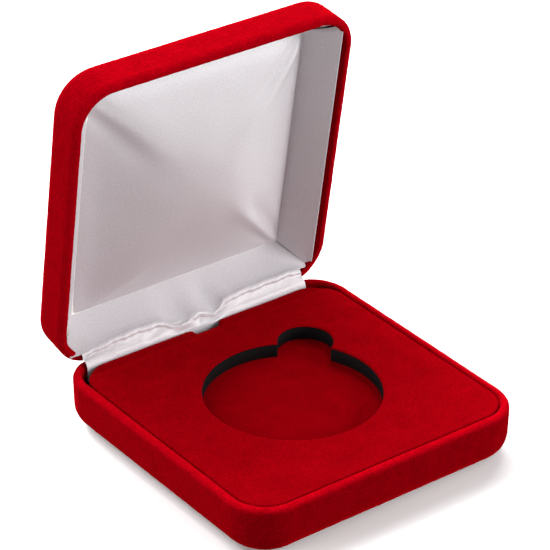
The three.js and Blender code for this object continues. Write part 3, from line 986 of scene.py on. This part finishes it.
def build_card():
    """The folded card behind the satin, in the shut lid: thin sloped walls and a flat panel."""
    gauge = 0.4 * MM
    crease_in = bpy.context.scene.box_sizes.crease_in
    depth = bpy.context.scene.box_sizes.crease_depth + 0.5 * MM

    def ring(inset, corner, z, share=1.0):
        half = SIDE / 2 - inset
        back = half - 1.2 * MM + 1.65 * MM * share
        plan = rounded_square(half, -half - 0.75 * MM * share, back, corner, 24, 8)
        return np.column_stack([plan, np.full(len(plan), LID_RIM_Z + z)])

    def slope(t, behind):
        inset = 4.0 * MM + (crease_in - 4.5 * MM) * t - behind
        return ring(inset, 3.0 * MM - 2.6 * MM * t, 2.7 * MM + (depth - 2.7 * MM) * t, t)

    # The card's sides start a third of the way in, where the satin hides them.
    start = 0.34
    inner = [slope(t, 0) for t in np.linspace(start, 1, 10)]
    inner += [ring(crease_in + extra, 0.4 * MM, depth) for extra in (4 * MM, 14 * MM, 24 * MM)]
    outer = [ring(inset, 0.4 * MM, depth + gauge) for inset in (24 * MM, crease_in - 0.9 * MM)]
    outer.append(slope(start, gauge))
    grid = np.stack([*inner, *outer])
    rows, columns = grid.shape[:2]
    faces = [tuple(f) for f in grid_faces(rows, columns, wrap=True)]
    last = (rows - 1) * columns
    for i in range(columns):
        j = (i + 1) % columns
        faces.append((last + i, last + j, j, i))
    return grid.reshape(-1, 3), faces


def build_wadding():
    """The wadding under the satin, in the shut lid: a closed mat with a soft top."""
    top = satin_ceiling(40, sink=0.55 * MM)
    back = shut_box("lining_wadding")[1][2]
    top[..., 2] = np.minimum(top[..., 2], back - 0.3 * MM)
    bottom = top.copy()
    bottom[..., 2] = back
    rows, columns = top.shape[:2]
    index = np.arange(rows * columns).reshape(rows, columns)
    ring = np.concatenate([index[0, :-1], index[:-1, -1], index[-1, :0:-1], index[:0:-1, 0]])
    under = ring + rows * columns
    faces = [tuple(f) for f in grid_faces(rows, columns, flip=True)]
    faces += [tuple(f) for f in grid_faces(rows, columns, start=rows * columns)]
    for a, b, c, d in zip(ring, np.roll(ring, -1), np.roll(under, -1), under):
        faces.append((a, d, c, b))
    return np.concatenate([top.reshape(-1, 3), bottom.reshape(-1, 3)]), faces


# ---- Hinge satin ----
def build_flap():
    """The satin over the hinge, open: points, faces and cloth places."""
    x = np.arange(-36.3, 34.9, 0.4) * MM
    vy, vz = valley(x)
    n = len(x)

    # The satin turns under the lining's edge in a soft hollow and swells out again above the
    # insert. Over the bow spring it is bunched into a lump, with a deeper hollow to the right.
    lump = bell(x, -5.5, 3.4)
    hollow = bell(x, 3.8, 2.6)
    waver = 0.06 * np.sin(x * 0.55 / MM) + 0.03 * np.sin(x * 1.3 / MM + 2)
    sizes = bpy.context.scene.box_sizes
    fold = opened([0, SIDE / 2 - HINGE_CREASE_IN, LID_RIM_Z + sizes.crease_depth])
    crease = (fold[1], fold[2])
    low = 0.25 * (vz - 17.8 * MM)
    knots = [
        (np.full(n, 38.05 * MM), np.full(n, 9.7 * MM)),
        (np.full(n, 38.05 * MM), np.full(n, 12.2 * MM)),
        (38.1 * MM - 0.3 * MM * hollow, np.full(n, 13.7 * MM)),
        ((38.45 - 0.15 * lump + 0.3 * waver) * MM, 14.75 * MM + low),
        ((39.15 - 0.75 * lump + 0.4 * hollow + waver) * MM, (15.60 + 0.4 * lump) * MM + low),
        (vy - (0.95 + 0.50 * lump - 0.3 * hollow) * MM, vz - (1.45 - 0.90 * lump) * MM),
        (vy - (0.85 + 0.35 * lump - 0.2 * hollow) * MM, vz - (0.75 - 0.50 * lump) * MM),
        (vy - 0.48 * MM, vz - 0.20 * MM),
    ]
    # Its upper edge follows the lining's wall down from where it slips under the satin there.
    for t, over in ((1.0, 0.06), (0.93, 0.05), (0.85, 0.03), (0.66, -0.05)):
        on_y, on_z = wall_line(x, t, crease)
        knots.append((on_y - 0.02 * MM, on_z + over * MM))
    line = np.stack([np.stack(k, axis=-1) for k in knots])
    padded = np.concatenate([2 * line[:1] - line[1:2], line, 2 * line[-1:] - line[-2:-1]])
    rows = []
    for a, b, c, d in zip(padded, padded[1:], padded[2:], padded[3:]):
        for t in np.linspace(0, 1, 7, endpoint=False):
            bend = 2 * b + (c - a) * t + (2 * a - 5 * b + 4 * c - d) * t * t
            rows.append(0.5 * (bend + (3 * b - a - 3 * c + d) * t**3))
    rows.append(line[-1])
    yz = np.stack(rows)
    grid = np.concatenate([np.broadcast_to(x[None, :, None], (len(yz), n, 1)), yz], axis=-1)
    normal = grid_normals(grid)
    # Folds that run down from the lining to the insert.
    up = grid[..., 2] / MM
    folds = (
        ((30.0, 17.2), (12.0, 15.2), -0.14, 1.1),
        ((-33.0, 15.6), (-20.0, 16.4), -0.12, 1.0),
        ((-11.0, 17.0), (-18.0, 15.0), -0.20, 0.9),
        ((1.0, 17.0), (-1.0, 14.0), -0.18, 0.8),
    )
    lift = np.zeros(grid.shape[:2])
    for (ax, az), (bx, bz), height, width in folds:
        run = math.hypot(bx - ax, bz - az)
        ux, uz = (bx - ax) / run, (bz - az) / run
        along = ((grid[..., 0] / MM - ax) * ux + (up - az) * uz) / run
        off = (grid[..., 0] / MM - ax) * uz - (up - az) * ux
        fade = smoothstep(-0.1, 0.2, along) * smoothstep(1.1, 0.8, along)
        lift += height * fade * np.exp(-((off / width) ** 2))
    facing = smoothstep(13.6, 14.6, up) * (np.arange(len(yz)) < 42)[:, None]
    grid = grid + normal * (lift * facing * MM)[..., None] * np.sign(-normal[30, n // 2, 1])
    steps = np.linalg.norm(np.diff(grid, axis=0), axis=2)
    distance = np.vstack([np.zeros(n), np.cumsum(steps, axis=0)])
    cloth = np.stack([grid[..., 0], distance], axis=-1).reshape(-1, 2) / MM
    return grid.reshape(-1, 3), grid_faces(len(yz), n), cloth


# ---- Operators ----
def settle(piece, slot, body, *nodes):
    """Hangs a piece on its body and hides the CAD nodes it stands for; slot is not used."""
    if nodes:
        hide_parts(*nodes)
    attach(piece, body)


class BOX_OT_base_shell(bpy.types.Operator):
    """Build the flocked base"""

    bl_idname = "presentation_box.base_shell"
    bl_label = "Flocked Base"

    def execute(self, context):
        foot = context.scene.box_sizes.base_foot
        profile = tray_profile(BASE_H, foot, 0.023, 1.8 * MM)
        made = flocked_tray("base_flocked_shell", profile, -1, 1.0)
        settle(made, "red_flock", "base", "base_shell")
        return {"FINISHED"}


class BOX_OT_lid_shell(bpy.types.Operator):
    """Build the flocked lid"""

    bl_idname = "presentation_box.lid_shell"
    bl_label = "Flocked Lid"

    def execute(self, context):
        edge = context.scene.box_sizes.lid_edge
        profile = tray_profile(LID_H, edge, 0.038, 1.5 * MM)
        made = flocked_tray("lid_flocked_shell", profile, 1, 8.0)
        settle(made, "red_flock", "lid", "lid_shell")
        return {"FINISHED"}


class BOX_OT_insert(bpy.types.Operator):
    """Build the velvet insert, its foam and the recess's floor"""

    bl_idname = "presentation_box.insert"
    bl_label = "Insert"

    def execute(self, context):
        velvet = plate(
            "insert_velvet_face",
            velvet_material(),
            PAD_LOW[2],
            PAD_HIGH[2],
            0.35 * MM,
            insert_outline,
            [recess_outline],
            0.8 * MM,
            rise=pad_rise,
        )
        settle(velvet, "red_velvet", "base", "insert_velvet")
        foam = plate(
            "insert_foam_core",
            foam_material(),
            FOAM_LOW[2],
            FOAM_HIGH[2],
            0.1 * MM,
            insert_outline,
            [recess_outline],
            3.0 * MM,
        )
        settle(foam, "black_foam", "base", "insert_foam")
        floor = plate(
            "recess_velvet_floor",
            velvet_material(),
            FLOOR_LOW[2],
            FLOOR_HIGH[2],
            0.2 * MM,
            insert_outline,
            [],
            1.2 * MM,
            rise=floor_rise,
        )
        settle(floor, "red_velvet", "base", "floor_velvet")
        return {"FINISHED"}


class BOX_OT_lining(bpy.types.Operator):
    """Build the lid's satin lining"""

    bl_idname = "presentation_box.lining"
    bl_label = "Satin Lining"

    def execute(self, context):
        points, faces, cloth = build_lining()
        made = mesh_object("lid_satin_lining", opened(points), faces, satin_material(), cloth)
        weld(made)
        settle(made, "satin", "lid", "lining_satin")
        points, faces = build_frayed_ends()
        threads = mesh_object("lining_frayed_ends", points, faces, satin_material())
        settle(threads, "satin", "lid")
        points, faces = build_card()
        card = mesh_object("lid_lining_card", opened(points), faces, board_material())
        settle(card, "greyboard", "lid", "lining_card")
        points, faces = build_wadding()
        mat = mesh_object("lid_wadding_mat", opened(points), faces, wadding_material())
        settle(mat, "wadding", "lid", "lining_wadding")
        return {"FINISHED"}


class BOX_OT_hinge_satin(bpy.types.Operator):
    """Build the satin that crosses the hinge"""

    bl_idname = "presentation_box.hinge_satin"
    bl_label = "Hinge Satin"

    def execute(self, context):
        points, faces, cloth = build_flap()
        made = mesh_object("hinge_satin", points, faces, satin_material(), cloth)
        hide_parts("satin_hinge_flap")
        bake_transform(made)
        return {"FINISHED"}


class BOX_OT_hinge(bpy.types.Operator):
    """Finish the hinge's steel and build its spring"""

    bl_idname = "presentation_box.hinge"
    bl_label = "Hinge"

    def execute(self, context):
        for node in ("hinge_leaf_base", "hinge_leaf_lid", "hinge_pin"):
            frame["nodes"][node].data.materials.clear()
            frame["nodes"][node].data.materials.append(steel_material())
        inner, half, gauge = 1.5 * MM, 4 * MM, 0.3 * MM
        turn = np.linspace(0, OPEN_ANGLE, 14)
        arc_points = np.stack([-np.cos(turn), np.sin(turn)], axis=1)
        foot = np.array([[-1.0, 0.0]])
        down = np.linspace(6.5, 0.4, 10)[:, None] * MM
        lid_way = np.array([math.sin(OPEN_ANGLE), math.cos(OPEN_ANGLE)])
        up = np.linspace(0.4, 5.5, 9)[:, None] * MM

        def line(radius):
            below = foot * radius + np.hstack([0 * down, -down])
            return np.vstack([below, arc_points * radius, arc_points[-1] * radius + lid_way * up])

        near, far = line(inner), line(inner + gauge)
        section = np.stack([near, far], axis=1)
        rows = []
        for x in np.linspace(-half, half, 9):
            loop = np.vstack([section[:, 0], section[::-1, 1]])
            rows.append(np.column_stack([np.full(len(loop), x), loop + PIVOT[1:]]))
        grid = np.stack(rows)
        points = grid.reshape(-1, 3)
        rows_count, columns = grid.shape[:2]
        faces = [tuple(f) for f in grid_faces(rows_count, columns, wrap=True)]
        pairs = columns // 2
        for row, flip in ((0, False), (rows_count - 1, True)):
            for i in range(pairs - 1):
                quad = (i, i + 1, columns - 2 - i, columns - 1 - i)
                quad = tuple(row * columns + k for k in quad)
                faces.append(quad[::-1] if flip else quad)
        spring = mesh_object("hinge_bow_spring", points, faces, steel_material())
        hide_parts("hinge_spring")
        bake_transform(spring)
        return {"FINISHED"}


class BOX_OT_packing(bpy.types.Operator):
    """Finish the floor's card and packing foam"""

    bl_idname = "presentation_box.packing"
    bl_label = "Packing"

    def execute(self, context):
        finishes = {
            "floor_foam": packing_material(),
            "floor_card": board_material(),
        }
        for node, made_of in finishes.items():
            frame["nodes"][node].data.materials.clear()
            frame["nodes"][node].data.materials.append(made_of)
        return {"FINISHED"}


# The camera: its direction in degrees, its distance and shifts in box sides, and its lens in mm.
VIEW_AZIMUTH, VIEW_ELEVATION, VIEW_ROLL = -37.29, 30.10, 0.475
VIEW_DISTANCE = 8.5705 * SIDE
VIEW_RIGHT, VIEW_UP = 0.1055 * SIDE, 0.0255 * SIDE
VIEW_LENS = 188.42

# Soft boxes: name, degrees round the box from its front, degrees up, and watts. Two behind it light
# the nap of its rims and walls from the back, and one low in front lights the satin.
LAMPS = (
    ("back_high", 180, 48, 8.8),
    ("back_low", 170, 15, 9.5),
    ("right_back", 130, 48, 5.5),
    ("left_back", -130, 48, 4.8),
    ("left_low", -100, 15, 4.4),
    ("front_low", 44, 20, 8.2),
    ("right_high", 60, 48, 0.9),
    ("front_left", -37, 15, 2.2),
)
LAMP_SIZE = 0.45
LAMP_DISTANCE = 0.9
LAMP_TARGET = Vector((0, 0, 0.035))


def way_from_box(azimuth, elevation):
    """The unit direction from the box at those angles; azimuth 0 is its front, and 90 its +X side."""
    around, above = math.radians(azimuth), math.radians(elevation)
    level = math.cos(above)
    return Vector((math.sin(around) * level, -math.cos(around) * level, math.sin(above)))


class BOX_OT_stage(bpy.types.Operator):
    """Set the floor, the lights and the camera"""

    bl_idname = "presentation_box.stage"
    bl_label = "Stage"

    def execute(self, context):
        scene = context.scene
        scene.view_settings.view_transform = "Standard"
        floor_points = [(x, y, -0.02 * MM) for x, y in ((-3, -3), (3, -3), (3, 3), (-3, 3))]
        shade = linear(scene.box_colours.floor)

        def build_floor(tree):
            return add(
                tree, "ShaderNodeBsdfPrincipled", {"Base Color": shade, "Roughness": 0.9}
            )

        floor = mesh_object("floor", floor_points, [(0, 1, 2, 3)], material("floor", build_floor))
        # The floor shows in the satin's gloss, but throws no diffuse light back on the box.
        floor.visible_diffuse = False

        world = bpy.data.worlds.new("studio")
        world.use_nodes = True
        world.node_tree.nodes["Background"].inputs["Color"].default_value = (1, 1, 1, 1)
        world.node_tree.nodes["Background"].inputs["Strength"].default_value = 0.12
        scene.world = world

        for name, around, above, power in LAMPS:
            way = way_from_box(around, above)
            lamp = bpy.data.lights.new(name, "AREA")
            lamp.size = LAMP_SIZE
            lamp.energy = power
            holder = bpy.data.objects.new(name, lamp)
            holder.location = LAMP_TARGET + way * LAMP_DISTANCE
            holder.rotation_euler = (-way).to_track_quat("-Z", "Y").to_euler()
            scene.collection.objects.link(holder)

        back = way_from_box(VIEW_AZIMUTH, VIEW_ELEVATION)
        roll = math.radians(VIEW_ROLL)
        across = (-back).cross(Vector((0, 0, 1))).normalized()
        upward = across.cross(-back)
        right = math.cos(roll) * across + math.sin(roll) * upward
        up = -math.sin(roll) * across + math.cos(roll) * upward
        aim = Vector((0, 0.25, 0.4)) * SIDE + right * VIEW_RIGHT + up * VIEW_UP
        camera = bpy.data.cameras.new("camera")
        camera.sensor_width = 36
        camera.lens = VIEW_LENS
        camera.clip_start = 0.01
        holder = bpy.data.objects.new("camera", camera)
        turned = Matrix((right, up, back)).transposed().to_4x4()
        holder.matrix_world = Matrix.Translation(aim + back * VIEW_DISTANCE) @ turned
        scene.collection.objects.link(holder)
        scene.camera = holder
        return {"FINISHED"}


class BOX_PT_panel(bpy.types.Panel):
    """The box's operators, sizes and colours"""

    bl_label = "Presentation Box"
    bl_idname = "BOX_PT_panel"
    bl_space_type = "VIEW_3D"
    bl_region_type = "UI"
    bl_category = "Box"

    def draw(self, context):
        layout = self.layout
        for operator in OPERATORS:
            layout.operator(operator.bl_idname)
        for group in (context.scene.box_sizes, context.scene.box_colours):
            for name in group.__annotations__:
                layout.prop(group, name)


OPERATORS = (
    BOX_OT_stage,
    BOX_OT_base_shell,
    BOX_OT_lid_shell,
    BOX_OT_insert,
    BOX_OT_packing,
    BOX_OT_lining,
    BOX_OT_hinge_satin,
    BOX_OT_hinge,
)
CLASSES = (BoxSizes, BoxColours, *OPERATORS, BOX_PT_panel)


def register():
    """Adds the classes, and the properties that hold the sizes and colours."""
    for cls in CLASSES:
        bpy.utils.register_class(cls)
    bpy.types.Scene.box_sizes = PointerProperty(type=BoxSizes)
    bpy.types.Scene.box_colours = PointerProperty(type=BoxColours)


def unregister():
    """Takes away what register() added."""
    del bpy.types.Scene.box_colours
    del bpy.types.Scene.box_sizes
    for cls in reversed(CLASSES):
        bpy.utils.unregister_class(cls)


def main():
    """Builds the whole box."""
    register()
    bpy.ops.presentation_box.stage()
    bpy.ops.presentation_box.base_shell()
    bpy.ops.presentation_box.lid_shell()
    bpy.ops.presentation_box.insert()
    bpy.ops.presentation_box.packing()
    bpy.ops.presentation_box.lining()
    bpy.ops.presentation_box.hinge_satin()
    bpy.ops.presentation_box.hinge()


if __name__ == "__main__":
    main()
